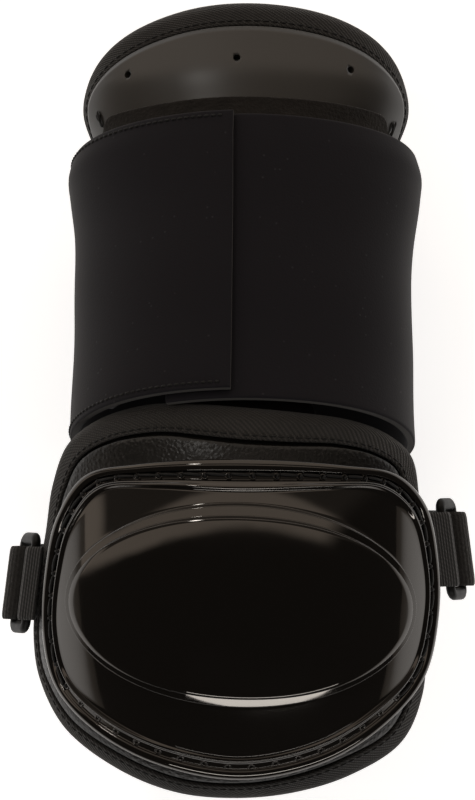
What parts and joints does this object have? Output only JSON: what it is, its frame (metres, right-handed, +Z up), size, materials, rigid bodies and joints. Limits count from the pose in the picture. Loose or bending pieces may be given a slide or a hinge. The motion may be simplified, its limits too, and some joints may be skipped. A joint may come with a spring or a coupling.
{
  "type": "baseball elbow guard",
  "caption": "Batter's elbow guard: a hard stepped cap on a bound foam cup, a padded plate above it, a neoprene wrap and a webbing strap through two rings.",
  "frame": {"origin": "on the floor under the middle of the guard's box, as the guard lies on its back with the elbow up", "axes": "+Z up out of the elbow cap, +Y along the arm towards the shoulder, +X across the arm"},
  "size_m": [0.1602, 0.269, 0.1298],
  "materials": {
    "neoprene": "black knitted face of neoprene, matte",
    "vinyl": "black vinyl with a fine pebble grain, semi-gloss",
    "twill_tape": "black woven twill tape, matte",
    "plate": "dark grey-brown moulded plastic, glossy",
    "shell": "black moulded plastic, very glossy",
    "brushed_fabric": "dark brushed loop fabric",
    "webbing": "black ribbed webbing",
    "ring": "black moulded plastic, satin"
  },
  "bodies": {
    "root": {"cuff_strap": "neoprene", "upper_pad": "vinyl", "upper_binding": "twill_tape", "upper_plate": "plate", "loop_panel": "brushed_fabric", "hinge_panel": "neoprene", "elbow_pad": "vinyl", "elbow_binding": "twill_tape", "elbow_shell": "shell", "ring_left": "ring", "tab_left": "webbing", "ring_right": "ring", "tab_right": "webbing", "forearm_strap": "webbing"}
  },
  "joints": []
}
